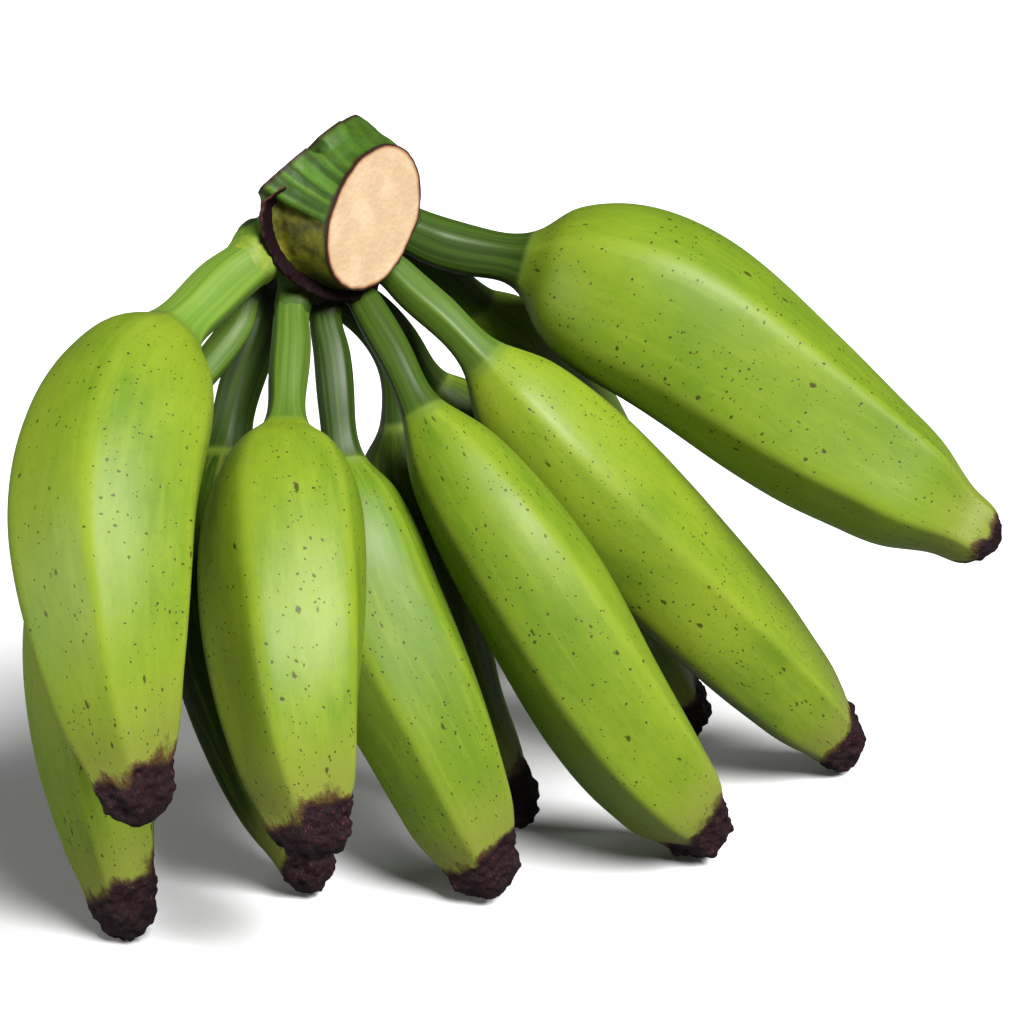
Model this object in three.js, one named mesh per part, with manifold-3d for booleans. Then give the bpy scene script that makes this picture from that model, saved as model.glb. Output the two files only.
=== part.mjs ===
// A hand of green cooking bananas, standing on the dried ends of its fruits.
// Millimetres, +Z up. While the hand is laid out, the zero point is on the ground under the
// crown, +X runs to the right of the hand and +Y to its back. The last lines move the whole
// hand so that the origin is on the ground under the middle of its box.
import * as THREE from 'three';
import { mergeVertices } from 'three/addons/utils/BufferGeometryUtils.js';
import Module from 'manifold-3d';

const wasm = await Module();
wasm.setup();

// ---- Driving dimensions ---------------------------------------------------------------

// The crown is the swollen node of the fruit stalk that every fruit grows from. The stub
// narrows from it to the cut face in front, and a second cut slants across its upper back.
const CROWN_CENTRE = new THREE.Vector3(-4, 2, 192);
const CROWN_RADIUS = 28;
const CUT_RADIUS = 20.5;
const STUB_LENGTH = 19;
const STUB_AXIS = new THREE.Vector3(0.74, -0.66, 0.13).normalize();
const FRONT_CUT = { normal: new THREE.Vector3(0.75, -0.66, -0.06).normalize(), distance: 17.5 };
const BACK_CUT = { normal: new THREE.Vector3(-0.67, 0.25, 0.7).normalize(), distance: 16 };
const WASTE = 100; // size of the block that each cut takes away

// Behind its widest place the crown rounds off: x is the radius, y the place along the stub.
const CROWN_BACK_OUTLINE = [[0, -17], [9, -16], [18, -10], [24.5, -4]];

// The cushion is the thick pad under the crown that holds the roots of the fruits.
const CUSHION = { width: 22, depth: 15, height: 19, shift: 4, back: 10, drop: 10 };

// The roots of the fruits sit on an arc round the stub, in a front row and a back row.
const ROOT_RADIUS = 19;
const ROW_SETBACK = { front: 4, back: 15 };
const SOCKET_GAP = 0.3;

// One fruit, as radius against distance. The neck is the short stalk of the fruit. The upper
// body swells from the neck to the full width, and the lower body thins down to the dried tip.
const NECK_OUTLINE = [[0, 0.65], [0.2, 0.8], [0.4, 0.95], [0.7, 0.96], [0.94, 1.06]];
const UPPER_OUTLINE = [[0.05, 0.2], [0.15, 0.46], [0.28, 0.67], [0.48, 0.86], [0.73, 0.97], [1, 1]];
const UPPER_SHARE = 0.4; // share of the body above its widest place, unless a fruit has its own
const LOWER_RINGS = 7;
const TIP_OUTLINE = [[0.4, 0.98], [0.78, 0.84], [0.95, 0.55]];
const TIP_LENGTH = 13;
const GROUND_REACH = 8; // a tip that comes this close to the ground rests on it
const GROUND_EASE = 40; // height over which a resting tip is eased down to the ground
const SIDES = 15;
const RIDGES = 5;
const RIDGE_STRENGTH = 0.42;

// Each fruit: the place of its root on the crown arc in degrees, the radius of its neck, half
// its width and half its depth, the radius of its tip, the length of its neck, how soon its
// lower body thins down (more is sooner), the way its flat front looks, and the points that
// its middle line runs through after the root.
const FRONT_ROW = [
  { root: 16, neck: 8.8, width: 27.5, depth: 24, tip: 12, neckLength: 50, thin: 0.95,
    face: [-0.1, -1, 0.35], path: [[-36, -30, 176], [-52, -58, 163], [-60, -92, 140],
      [-57.5, -120, 105], [-50, -134, 60]] },
  { root: 56, neck: 6.3, width: 25, depth: 21, tip: 13.4, neckLength: 56, thin: 0.85,
    face: [0, -1, 0.3], path: [[-15, -30, 155], [-15, -50, 140], [-13.5, -86, 113],
      [-10.5, -110, 82], [-4, -122, 44]] },
  { root: 86, neck: 5.9, width: 22, depth: 20, tip: 12.2, neckLength: 58, thin: 0.7,
    face: [0.1, -1, 0.3], path: [[-3, -16, 149], [-1, -26, 130], [7, -44, 92],
      [25, -57, 52], [44, -58, 4]] },
  { root: 112, neck: 5.9, width: 22, depth: 20.5, tip: 12, neckLength: 56, thin: 0.63,
    upperShare: 0.55, face: [0.3, -1, 0.5], path: [[13, -14, 156], [23, -26, 139],
      [53, -44, 97], [81, -45, 48], [109, -28, 4]] },
  { root: 138, neck: 6.4, width: 22.5, depth: 20, tip: 11.4, neckLength: 52, thin: 0.7,
    face: [0.4, -1, 0.6], path: [[27, 2, 161], [40, -2, 148], [75, -4, 107],
      [116, 10, 57], [157, 36, 4]] },
  { root: 168, neck: 8.3, width: 30, depth: 25, tip: 12.2, neckLength: 52, thin: 0.66,
    upperShare: 0.31, face: [0, -1, 0.5], path: [[30, 24, 175], [51, 22, 171], [92, 14, 158],
      [145, 4, 121], [193, -4, 90]] },
];
const BACK_ROW = [
  { root: 34, neck: 5.4, width: 22, depth: 19, tip: 11.6, neckLength: 54, thin: 0.9,
    face: [-0.5, -1, 0.2], path: [[-32, -14, 159], [-44, -24, 146], [-67, -50, 103],
      [-69, -74, 58], [-60, -84, 4]] },
  { root: 64, neck: 7, width: 20, depth: 19, tip: 9.4, neckLength: 56, thin: 0.95,
    face: [-0.5, -1, 0], path: [[-27, 2, 150], [-33, -6, 133], [-35, -32, 88],
      [-24, -51, 42], [-8, -55, 4]] },
  { root: 94, neck: 5, width: 19, depth: 18.5, tip: 10, neckLength: 58, thin: 0.8,
    face: [0, -1, 0], path: [[11, 5, 149], [15, 1, 126], [21, -5, 84],
      [31, -8, 43], [53, -10, 4]] },
  { root: 121, neck: 5.4, width: 20, depth: 19, tip: 10, neckLength: 54, thin: 0.8,
    face: [0, -1, 0], path: [[14, 16, 151], [25, 22, 131], [53, 34, 89],
      [84, 48, 43], [109, 61, 4]] },
  { root: 149, neck: 5.4, width: 20, depth: 19, tip: 10, neckLength: 54, thin: 0.8,
    face: [0, -1, 0], path: [[28, 33, 164], [42, 44, 146], [63, 70, 106],
      [84, 98, 56], [100, 124, 4]] },
];

// ---- Helpers --------------------------------------------------------------------------

// A closed geometry as a solid that can be cut and joined.
function solidFrom(geometry) {
  const bare = geometry.clone();
  bare.deleteAttribute('normal');
  bare.deleteAttribute('uv');
  const merged = mergeVertices(bare, 1e-3);
  return new wasm.Manifold(new wasm.Mesh({
    numProp: 3,
    vertProperties: merged.attributes.position.array,
    triVerts: new Uint32Array(merged.index.array),
  }));
}

function geometryFrom(solid) {
  const mesh = solid.getMesh();
  const geometry = new THREE.BufferGeometry();
  geometry.setAttribute('position', new THREE.BufferAttribute(mesh.vertProperties, 3));
  geometry.setIndex(new THREE.BufferAttribute(mesh.triVerts, 1));
  geometry.computeVertexNormals();
  return geometry;
}

// Two directions square to the forward one and to each other. The first is as near as it can
// be to the wanted direction.
function squareTo(forward, wanted) {
  const side = new THREE.Vector3().crossVectors(forward, wanted).normalize();
  const nearest = new THREE.Vector3().crossVectors(side, forward);
  return { nearest, side };
}

// ---- Fruit ----------------------------------------------------------------------------

// A fruit is a little five-sided: flat between its ridges, with one flat side to the front.
// This is the part of the full radius that is left at an angle round the fruit.
function pressedRadius(angle) {
  const half = Math.PI / RIDGES;
  const fromFlat = THREE.MathUtils.euclideanModulo(angle + half, 2 * half) - half;
  return 1 - RIDGE_STRENGTH * (1 - Math.cos(half) / Math.cos(fromFlat));
}

function rootOnCrown(degrees, row) {
  const angle = THREE.MathUtils.degToRad(degrees);
  const across = new THREE.Vector3(-STUB_AXIS.y, STUB_AXIS.x, 0).normalize();
  return CROWN_CENTRE.clone()
    .addScaledVector(STUB_AXIS, -ROW_SETBACK[row])
    .addScaledVector(across, -ROOT_RADIUS * Math.cos(angle))
    .add(new THREE.Vector3(0, 0, -ROOT_RADIUS * Math.sin(angle)));
}

// The outline of a fruit from root to tip: x is its radius and y the distance from the root.
function fruitOutline(fruit, length) {
  const outline = [new THREE.Vector2(0, 0)];
  for (const [at, part] of NECK_OUTLINE) {
    outline.push(new THREE.Vector2(part * fruit.neck, at * fruit.neckLength));
  }
  const body = length - fruit.neckLength - TIP_LENGTH;
  const upperShare = fruit.upperShare ?? UPPER_SHARE;
  for (const [at, part] of UPPER_OUTLINE) {
    const radius = THREE.MathUtils.lerp(fruit.neck, fruit.width, part);
    outline.push(new THREE.Vector2(radius, fruit.neckLength + at * upperShare * body));
  }
  for (let ring = 1; ring <= LOWER_RINGS; ring++) {
    const at = ring / LOWER_RINGS;
    const part = Math.max(0, Math.cos(Math.PI / 2 * at)) ** fruit.thin;
    const distance = upperShare + at * (1 - upperShare);
    const radius = THREE.MathUtils.lerp(fruit.tip, fruit.width, part);
    outline.push(new THREE.Vector2(radius, fruit.neckLength + distance * body));
  }
  for (const [at, part] of TIP_OUTLINE) {
    outline.push(new THREE.Vector2(part * fruit.tip, length - (1 - at) * TIP_LENGTH));
  }
  outline.push(new THREE.Vector2(0, length));
  return outline;
}

// The fruit is turned from its outline, pressed flat between its ridges and bent along its
// middle line. A tip that ends near the ground is eased down or up until it rests there.
function fruitGeometry(fruit, row, swell = 0) {
  const places = [rootOnCrown(fruit.root, row), ...fruit.path.map((p) => new THREE.Vector3(...p))];
  const middleLine = new THREE.CatmullRomCurve3(places, false, 'centripetal');
  middleLine.arcLengthDivisions = 400;
  const length = middleLine.getLength();
  const outline = fruitOutline(fruit, length);
  const geometry = new THREE.LatheGeometry(outline, SIDES, Math.PI / SIDES);
  const position = geometry.attributes.position;
  const face = new THREE.Vector3(...fruit.face);
  const flatness = fruit.depth / fruit.width;
  for (let i = 0; i < position.count; i++) {
    const along = THREE.MathUtils.clamp(position.getY(i) / length, 0, 1);
    const centre = middleLine.getPointAt(along);
    const { nearest, side } = squareTo(middleLine.getTangentAt(along), face);
    const angle = Math.atan2(position.getX(i), position.getZ(i));
    const radius = Math.hypot(position.getX(i), position.getZ(i));
    const pressed = radius > 1e-6 ? radius * pressedRadius(angle) + swell : 0;
    centre.addScaledVector(side, pressed * Math.sin(angle));
    centre.addScaledVector(nearest, pressed * Math.cos(angle) * flatness);
    position.setXYZ(i, centre.x, centre.y, centre.z);
  }
  geometry.computeBoundingBox();
  const lowest = geometry.boundingBox.min.z;
  if (swell > 0 || lowest > GROUND_REACH) return geometry;
  for (let i = 0; i < position.count; i++) {
    const height = position.getZ(i) - lowest;
    const share = THREE.MathUtils.clamp(1 - height / GROUND_EASE, 0, 1);
    position.setZ(i, position.getZ(i) - lowest * share);
  }
  geometry.computeBoundingBox();
  return geometry;
}

// ---- Stalk ----------------------------------------------------------------------------

// The block of waste beyond a flat cut across the stalk.
function wasteBeyond(cut) {
  const turn = new THREE.Quaternion().setFromUnitVectors(new THREE.Vector3(0, 0, 1), cut.normal);
  const place = CROWN_CENTRE.clone().addScaledVector(cut.normal, cut.distance);
  const block = new THREE.BoxGeometry(WASTE, WASTE, WASTE).translate(0, 0, WASTE / 2);
  return solidFrom(block.applyQuaternion(turn).translate(place.x, place.y, place.z));
}

// The stub flares from its cut face to the crown. The cushion is joined to it, the two cuts
// trim it, and the roots of the fruits are cut out of it with a small gap.
function stalkGeometry(rootSolids) {
  const { nearest: up, side } = squareTo(STUB_AXIS, new THREE.Vector3(0, 0, 1));
  const toHand = new THREE.Matrix4().makeBasis(side, STUB_AXIS, up).setPosition(CROWN_CENTRE);
  const stub = new THREE.LatheGeometry([
    ...CROWN_BACK_OUTLINE.map(([radius, place]) => new THREE.Vector2(radius, place)),
    new THREE.Vector2(CROWN_RADIUS, 0),
    new THREE.Vector2(THREE.MathUtils.lerp(CROWN_RADIUS, CUT_RADIUS, 0.6), STUB_LENGTH * 0.5),
    new THREE.Vector2(CUT_RADIUS, STUB_LENGTH),
    new THREE.Vector2(CUT_RADIUS, STUB_LENGTH * 1.5),
    new THREE.Vector2(0, STUB_LENGTH * 1.5),
  ], 32).applyMatrix4(toHand);
  const cushion = new THREE.SphereGeometry(1, 24, 16)
    .scale(CUSHION.width, CUSHION.depth, CUSHION.height)
    .translate(-CUSHION.shift, -CUSHION.back, -CUSHION.drop)
    .applyMatrix4(toHand);
  let solid = solidFrom(stub).add(solidFrom(cushion));
  for (const waste of [FRONT_CUT, BACK_CUT].map(wasteBeyond)) solid = solid.subtract(waste);
  for (const root of rootSolids) solid = solid.subtract(root);
  return geometryFrom(solid);
}

// ---- Hand -----------------------------------------------------------------------------

const peel = new THREE.MeshStandardMaterial({ color: 0x8fb83e, roughness: 0.42, metalness: 0 });
const stalkSkin = new THREE.MeshStandardMaterial({ color: 0x4f6a24, roughness: 0.6, metalness: 0 });

const hand = new THREE.Group();
const rootSolids = [];
for (const [row, fruits] of Object.entries({ front: FRONT_ROW, back: BACK_ROW })) {
  fruits.forEach((fruit, index) => {
    const mesh = new THREE.Mesh(fruitGeometry(fruit, row), peel);
    mesh.name = `${row}_finger_${index + 1}`;
    hand.add(mesh);
    rootSolids.push(solidFrom(fruitGeometry(fruit, row, SOCKET_GAP)));
  });
}
const stalk = new THREE.Mesh(stalkGeometry(rootSolids), stalkSkin);
stalk.name = 'stalk';
hand.add(stalk);

const box = new THREE.Box3().setFromObject(hand);
const middle = box.getCenter(new THREE.Vector3());
hand.position.set(-middle.x, -middle.y, -box.min.z);

export default hand;
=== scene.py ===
# %% [markdown]
# # A hand of green cooking bananas
# A hand is one cluster of fruits cut from the stem of the plant. Every fruit grows from a
# short neck out of the same crown, and ends in the dry black rest of its flower. This lesson
# loads a plain solid model of the hand, measures it, and makes a finer skin round each solid:
# soft ridges, lumpy dry ends, a ribbed stalk with a fresh cut, and skin with specks.

# %% Load the solid model
import math
import bmesh
import bpy
import numpy as np
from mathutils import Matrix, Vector, noise


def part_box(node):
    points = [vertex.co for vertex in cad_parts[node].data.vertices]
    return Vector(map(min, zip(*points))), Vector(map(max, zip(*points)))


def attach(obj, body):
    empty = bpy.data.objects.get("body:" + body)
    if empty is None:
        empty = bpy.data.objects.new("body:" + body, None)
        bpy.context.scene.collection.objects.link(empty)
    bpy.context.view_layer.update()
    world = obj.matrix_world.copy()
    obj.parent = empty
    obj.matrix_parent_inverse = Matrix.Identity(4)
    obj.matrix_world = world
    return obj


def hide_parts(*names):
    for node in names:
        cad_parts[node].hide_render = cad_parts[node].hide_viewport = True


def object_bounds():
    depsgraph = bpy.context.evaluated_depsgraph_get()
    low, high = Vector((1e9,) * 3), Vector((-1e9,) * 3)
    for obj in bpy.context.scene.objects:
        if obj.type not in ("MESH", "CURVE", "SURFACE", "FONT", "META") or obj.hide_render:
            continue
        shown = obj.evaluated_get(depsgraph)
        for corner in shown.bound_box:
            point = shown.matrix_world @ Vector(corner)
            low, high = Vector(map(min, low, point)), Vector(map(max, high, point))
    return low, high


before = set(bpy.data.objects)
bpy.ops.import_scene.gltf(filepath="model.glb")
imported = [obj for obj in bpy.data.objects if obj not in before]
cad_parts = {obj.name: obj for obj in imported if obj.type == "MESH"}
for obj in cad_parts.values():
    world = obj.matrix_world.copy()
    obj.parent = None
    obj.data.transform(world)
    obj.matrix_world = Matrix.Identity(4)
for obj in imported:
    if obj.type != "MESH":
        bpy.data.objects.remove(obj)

SOLID_LOW, SOLID_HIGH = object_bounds()
MM = 0.001
FRUITS = sorted(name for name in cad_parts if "finger" in name)
print("solids:", len(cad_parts), "of them fruits:", len(FRUITS))
print("box in mm:", [round((b - a) / MM, 1) for a, b in zip(SOLID_LOW, SOLID_HIGH)])

# %% [markdown]
# ## Camera
# The hand is looked at from straight in front and a little above, from about a metre away.
# A long lens keeps the near fruits from looking bigger than the far ones. The camera is aimed
# with a quaternion, which turns its -Z axis along the line of sight and keeps its Y axis up.

# %% Place the camera
LOOK_DOWN = math.radians(20)
DISTANCE = 1.0
FIELD_OF_VIEW = math.radians(16.88)
AIM_FROM_MIDDLE = Vector((-4.8, -21.8, 0.7)) * MM  # a little left, in front and up
aim = (SOLID_LOW + SOLID_HIGH) / 2 + AIM_FROM_MIDDLE

camera_data = bpy.data.cameras.new("front_view")
camera_data.sensor_width = 36
camera_data.lens = camera_data.sensor_width / 2 / math.tan(FIELD_OF_VIEW / 2)
camera = bpy.data.objects.new("front_view", camera_data)
bpy.context.scene.collection.objects.link(camera)
away = Vector((0, -math.cos(LOOK_DOWN), math.sin(LOOK_DOWN)))
camera.location = aim + away * DISTANCE
camera.rotation_euler = (-away).to_track_quat("-Z", "Y").to_euler()
bpy.context.scene.camera = camera
print("camera at", [round(x, 3) for x in camera.location], "lens", round(camera_data.lens, 1))

# %% [markdown]
# ## Reading a fruit's solid
# Each solid fruit is a stack of rings of 15 corners with a pole at each end. Counting edges
# outwards from the root pole gives the rings in order. Every ring is then described by three
# vectors: its centre, and how far it reaches to its side and to its front. A smooth curve
# through those vectors gives a ring at any place along the fruit, so the finer skin follows
# the solid closely but shows none of its flat faces.

# %% Find the rings of a solid fruit
CROWN = sum(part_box("stalk"), Vector()) / 2
CORNERS = 15
RIDGES = 5
PRESSED = 0.42  # how far the solid is pressed flat between its ridges, from round to five-sided


def walk_round(ring, neighbours):
    """The ring's corners in order, going from neighbour to neighbour."""
    order = [min(ring)]
    while len(order) < len(ring):
        order.append(min(n for n in neighbours[order[-1]] if n in ring and n not in order))
    return order


def rings_of(node):
    """The solid fruit as (its two poles, its rings of corners from root to tip)."""
    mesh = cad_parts[node].data
    every = np.array([v.co for v in mesh.vertices])
    places, corner_of = np.unique(np.round(every, 6), axis=0, return_inverse=True)
    corner_of = corner_of.ravel()
    neighbours = [set() for _ in places]
    for face in mesh.polygons:
        corners = {int(corner_of[v]) for v in face.vertices}
        for corner in corners:
            neighbours[corner] |= corners - {corner}
    poles = [i for i, near in enumerate(neighbours) if len(near) == CORNERS]
    poles.sort(key=lambda i: np.linalg.norm(places[i] - np.array(CROWN)))
    seen, ring, rings = {poles[0]}, neighbours[poles[0]], []
    while len(ring) == CORNERS:
        rings.append(places[walk_round(ring, neighbours)])
        seen |= ring
        ring = {n for corner in ring for n in neighbours[corner]} - seen
    return places[poles], np.array(rings)


def pentagon(angle):
    """The reach of a flat-sided five-sided ring at an angle from the middle of a side."""
    half = math.pi / RIDGES
    from_side = (angle + half) % (2 * half) - half
    return math.cos(half) / np.cos(from_side)


print("rings in the first fruit:", len(rings_of(FRUITS[0])[1]))

# %% Describe each ring by its centre and its two reaches
corner_angle = (np.arange(CORNERS) + 0.5) * 2 * math.pi / CORNERS
corner_reach = 1 - PRESSED * (1 - pentagon(corner_angle))
FRONT = np.array((0, -1, 0.35))


def line_up(rings):
    """Turns and shifts each ring's list so that corner 0 is just right of the front side."""
    centres = rings.mean(axis=1)
    for k in range(len(rings)):
        forward = centres[min(k + 1, len(rings) - 1)] - centres[max(k - 1, 0)]
        spokes = rings[k] - centres[k]
        turning = np.cross(spokes, np.roll(spokes, -1, axis=0)).sum(axis=0) @ forward
        if turning > 0:
            rings[k] = rings[k][::-1].copy()
        if k:
            shifts = [np.roll(rings[k], s, axis=0) for s in range(CORNERS)]
            moved = [np.linalg.norm(s - centres[k] - rings[k - 1] + centres[k - 1])
                     for s in shifts]
            rings[k] = shifts[int(np.argmin(moved))]
    middle_ring = len(rings) // 2
    spokes = rings[middle_ring] - centres[middle_ring]
    reach = np.linalg.norm(spokes, axis=1)
    sharp = [sum(2 * reach[i] - reach[i - 1] - reach[(i + 1) % CORNERS]
                 for i in range(start, CORNERS, 3)) for start in range(3)]
    rings = np.roll(rings, 1 - int(np.argmax(sharp)), axis=1)
    spokes = rings[middle_ring] - centres[middle_ring]
    facing = [(spokes[3 * i - 1] + spokes[3 * i]) @ FRONT for i in range(RIDGES)]
    return np.roll(rings, -3 * int(np.argmax(facing)), axis=1)


def reaches_of(rings):
    """For each ring (centre, side reach, front reach), by least squares over its corners."""
    columns = np.stack([np.ones(CORNERS), corner_reach * np.sin(corner_angle),
                        corner_reach * np.cos(corner_angle)], axis=1)
    return np.array([np.linalg.lstsq(columns, ring, rcond=None)[0] for ring in rings])


measured = {}
for name in FRUITS:
    poles, rings = rings_of(name)
    rings = line_up(rings)
    reaches = reaches_of(rings)
    measured[name] = (poles, reaches)
    fit = reaches[:, 0, None] + reaches[:, 1, None] * (corner_reach * np.sin(corner_angle))[:, None] \
        + reaches[:, 2, None] * (corner_reach * np.cos(corner_angle))[:, None]
    off = np.linalg.norm(fit - rings, axis=2).max() / MM
    widest = np.linalg.norm(reaches[:, 1:], axis=2).max() / MM
    print(name, "widest reach", round(widest, 1), "mm, fit within", round(off, 2), "mm")

# %% [markdown]
# ## Smooth curves through measured places
# A natural cubic spline passes through every measured value and bends as little as it can, so
# reflections on the skin stay smooth. It needs one small set of linear equations for each
# fruit, which numpy solves at once for all the values.

# %% Spline helper


def smooth_through(knots, values, at):
    """The natural cubic spline through values at the knots, read at the given places."""
    knots, at = np.asarray(knots, float), np.asarray(at, float)
    values = np.asarray(values, float)
    flat = values.reshape(len(knots), -1)
    gap = np.diff(knots)
    slope = np.diff(flat, axis=0) / gap[:, None]
    size = len(knots)
    matrix, right = np.eye(size), np.zeros_like(flat)
    for i in range(1, size - 1):
        matrix[i, i - 1:i + 2] = gap[i - 1], 2 * (gap[i - 1] + gap[i]), gap[i]
        right[i] = 6 * (slope[i] - slope[i - 1])
    bend = np.linalg.solve(matrix, right)
    i = np.clip(np.searchsorted(knots, at) - 1, 0, size - 2)
    before, after = (at - knots[i])[:, None], (knots[i + 1] - at)[:, None]
    width = gap[i][:, None]
    curve = (bend[i] * after ** 3 + bend[i + 1] * before ** 3) / (6 * width) \
        + (flat[i] / width - bend[i] * width / 6) * after \
        + (flat[i + 1] / width - bend[i + 1] * width / 6) * before
    return curve.reshape((len(at),) + values.shape[1:])


def ease(low, high, value):
    """0 below low, 1 above high, and a soft step between them."""
    share = np.clip((value - low) / (high - low), 0, 1)
    return share * share * (3 - 2 * share)


print("spline half way between 0, 1 and 0:", smooth_through([0, 1, 2], [0, 1, 0], [0.5]).round(3))

# %% [markdown]
# ## Skin of a fruit
# A green cooking banana is not round. Five soft ridges run from neck to tip, faint at the
# shoulder and clearer below. A round ring and a five-sided ring are mixed to get them, and the
# corners of the five-sided one are softened as a blur would, by damping its short waves. Slow
# noise keeps the sides a little uneven, as on anything that grew.
#
# The dry end is the withered flower. It is modelled with the fruit, because it grew with it:
# the rings stand closer there, and dark lumps start behind a small ragged step.

# %% Shape of the skin
AROUND = 96  # points round each ring
SKIN_STEP, DRY_STEP = 1.7 * MM, 0.45 * MM  # from ring to ring
angle = np.arange(AROUND) * 2 * math.pi / AROUND
side_waves = np.fft.rfft(pentagon(angle))
wave_number = np.arange(len(side_waves))


def side_profile(softness):
    """Reach round each ring of the five-sided shape, with corners softened by these angles."""
    damping = np.exp(-0.5 * (wave_number[None] * softness[:, None]) ** 2)
    return np.fft.irfft(side_waves[None] * damping, AROUND, axis=1)


def slow_noise(points, size, seed):
    """Smooth noise from -1 to 1 at each point, with features about this big."""
    shift = Vector((seed * 3.7, seed * 1.9, seed * 5.3))
    flat = points.reshape(-1, 3) / size
    found = np.array([noise.noise(Vector(p) + shift) for p in flat])
    return found.reshape(points.shape[:-1])


print("points round each ring:", AROUND)

# %% Shape of the dry end
END_LENGTH = 13 * MM  # the rounded stretch at the tip
DRY_START = 17 * MM  # the rings stand closer from here to the tip
LAST_CLOSE = 2 * MM  # and closer still over the very end
ROUNDNESS = 2.2  # 2 is half an ellipse, and more is blunter


def along_fruit(length):
    """Places along the middle line and the share of the full reach at each of them."""
    skin = np.linspace(0, length - DRY_START, int((length - DRY_START) / SKIN_STEP))
    dry = np.arange(length - DRY_START + DRY_STEP, length - LAST_CLOSE, DRY_STEP)
    last = length - LAST_CLOSE * np.linspace(1, 0.12, 14) ** 2
    places = np.concatenate([skin, dry, last])
    rounding = np.clip(1 - (length - places) / END_LENGTH, 0, 1)
    return places, np.sqrt(1 - rounding ** ROUNDNESS)


print("rings on a 200 mm fruit:", len(along_fruit(0.2)[0]))

# %% Build one fruit
TWIST = -35  # degrees that the ridges turn over a whole fruit
# Turn of the ridges in degrees, length of the dark end in mm, how yellow the skin is (below 0
# it is a deeper green, painted shade for fruits that stand in the shade of others), and how
# much painted shade darkens the neck, from 0 to 1.
LOOKS = {
    "front_finger_1": (-34, 12, 0.55, 0.0), "front_finger_2": (18, 12, 0.6, 0.5),
    "front_finger_3": (19, 13, -0.25, 1.0), "front_finger_4": (-9, 13, 0.35, 0.9),
    "front_finger_5": (-38, 12, 0.7, 0.6), "front_finger_6": (-6, 3.5, 0.15, 1.0),
    "back_finger_1": (-31, 15, 0.5, 0.5), "back_finger_2": (0, 13, -1.2, 1.0),
    "back_finger_3": (8, 13, -0.8, 1.0), "back_finger_4": (-6, 12, -0.6, 1.0),
    "back_finger_5": (4, 12, -0.3, 0.9),
}


def fruit_surface(name, seed):
    """The smooth skin as rings of points, with for each ring its place from the root, its
    distance to the tip and how much it belongs to the neck, and the five-sided reaches."""
    turn = LOOKS[name][0]
    poles, reaches = measured[name]
    centres = np.concatenate([poles[:1], reaches[:, 0], poles[1:]])
    line = np.concatenate([[0], np.cumsum(np.linalg.norm(np.diff(centres, axis=0), axis=1))])
    length = line[-1]
    places, share = along_fruit(length)
    centre = smooth_through(line, centres, places)
    inside = np.clip(places, line[1], line[-4])
    side = smooth_through(line[1:-1], reaches[:, 1], inside)
    front = smooth_through(line[1:-1], reaches[:, 2], inside)
    width = np.linalg.norm(side, axis=1)
    neck = 1 - ease(1.12, 1.7, width / width[np.abs(places - 35 * MM).argmin()])
    neck *= places < length / 2
    share = share * (1 + 0.4 * np.exp(-(places / (9 * MM)) ** 2))
    to_tip = length - places

    low_down = 1 - ease(0.2, 0.75, to_tip / length)
    five = side_profile(0.12 - 0.065 * low_down - 0.03 * neck)
    depth = 0.34 + 0.42 * low_down + 0.25 * neck
    uneven = 1 + 0.16 * np.cos(angle + seed) + 0.14 * np.cos(2 * angle + 2.3 * seed)
    reach = 1 - depth[:, None] * uneven[None] * (1 - five)
    twist = TWIST * (to_tip / length - 0.35)
    turned = angle[None] + np.radians(turn + twist)[:, None]
    reach = reach * share[:, None]
    points = centre[:, None] \
        + side[:, None] * (reach * np.sin(turned))[..., None] \
        + front[:, None] * (reach * np.cos(turned))[..., None]
    return points, places, to_tip, neck, five


surface = fruit_surface("front_finger_1", 1)
print("front_finger_1:", surface[0].shape[0], "rings, length", round(surface[2][0] / MM), "mm")

# %% [markdown]
# ## Lumps, and the notes that the finish reads
# The finish has to know where on the fruit it is: how near the dry end, how near a ridge, and
# so on. These facts are stored on the points as named attributes. The place on the skin is
# stored as if the fruit were straightened out, so that streaks run along each bent fruit.

# %% Finish the points and make the mesh
DRY_SINKS = 0.3  # mm that the skin steps down where the dry end begins
LOWEST = 0.15 * MM  # the lumps that rest on the ground are flat


def outwards(points):
    """Unit normals of a grid of rings."""
    along = np.gradient(points, axis=0)
    around = np.roll(points, -1, axis=1) - np.roll(points, 1, axis=1)
    normal = np.cross(along, around)
    return normal / np.maximum(np.linalg.norm(normal, axis=2, keepdims=True), 1e-12)


def grid_faces(rings, around):
    """Quads between the rings, and a fan to a pole at each end."""
    faces = []
    for k in range(rings - 1):
        for i in range(around):
            j = (i + 1) % around
            faces.append((k * around + i, (k + 1) * around + i, (k + 1) * around + j,
                          k * around + j))
    root, tip = rings * around, rings * around + 1
    last = (rings - 1) * around
    for i in range(around):
        j = (i + 1) % around
        faces.append((root, i, j))
        faces.append((last + i, tip, last + j))
    return faces


def new_piece(name, points, faces):
    """A smooth mesh object in the scene."""
    mesh = bpy.data.meshes.new(name)
    mesh.from_pydata([tuple(p) for p in points], [], faces)
    mesh.polygons.foreach_set("use_smooth", [True] * len(mesh.polygons))
    piece = bpy.data.objects.new(name, mesh)
    bpy.context.scene.collection.objects.link(piece)
    return piece


def note(piece, name, values):
    """Stores one number, or one vector, for each point of the mesh."""
    values = np.asarray(values, np.float32)
    kind, field = ("FLOAT_VECTOR", "vector") if values.ndim == 2 else ("FLOAT", "value")
    piece.data.attributes.new(name, kind, "POINT").data.foreach_set(field, values.ravel())


def closed(values):
    """Values on the rings followed by their means at the two poles."""
    ends = np.stack([values[0].mean(axis=0), values[-1].mean(axis=0)])
    return np.concatenate([values.reshape(-1, *values.shape[2:]), ends])


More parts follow.
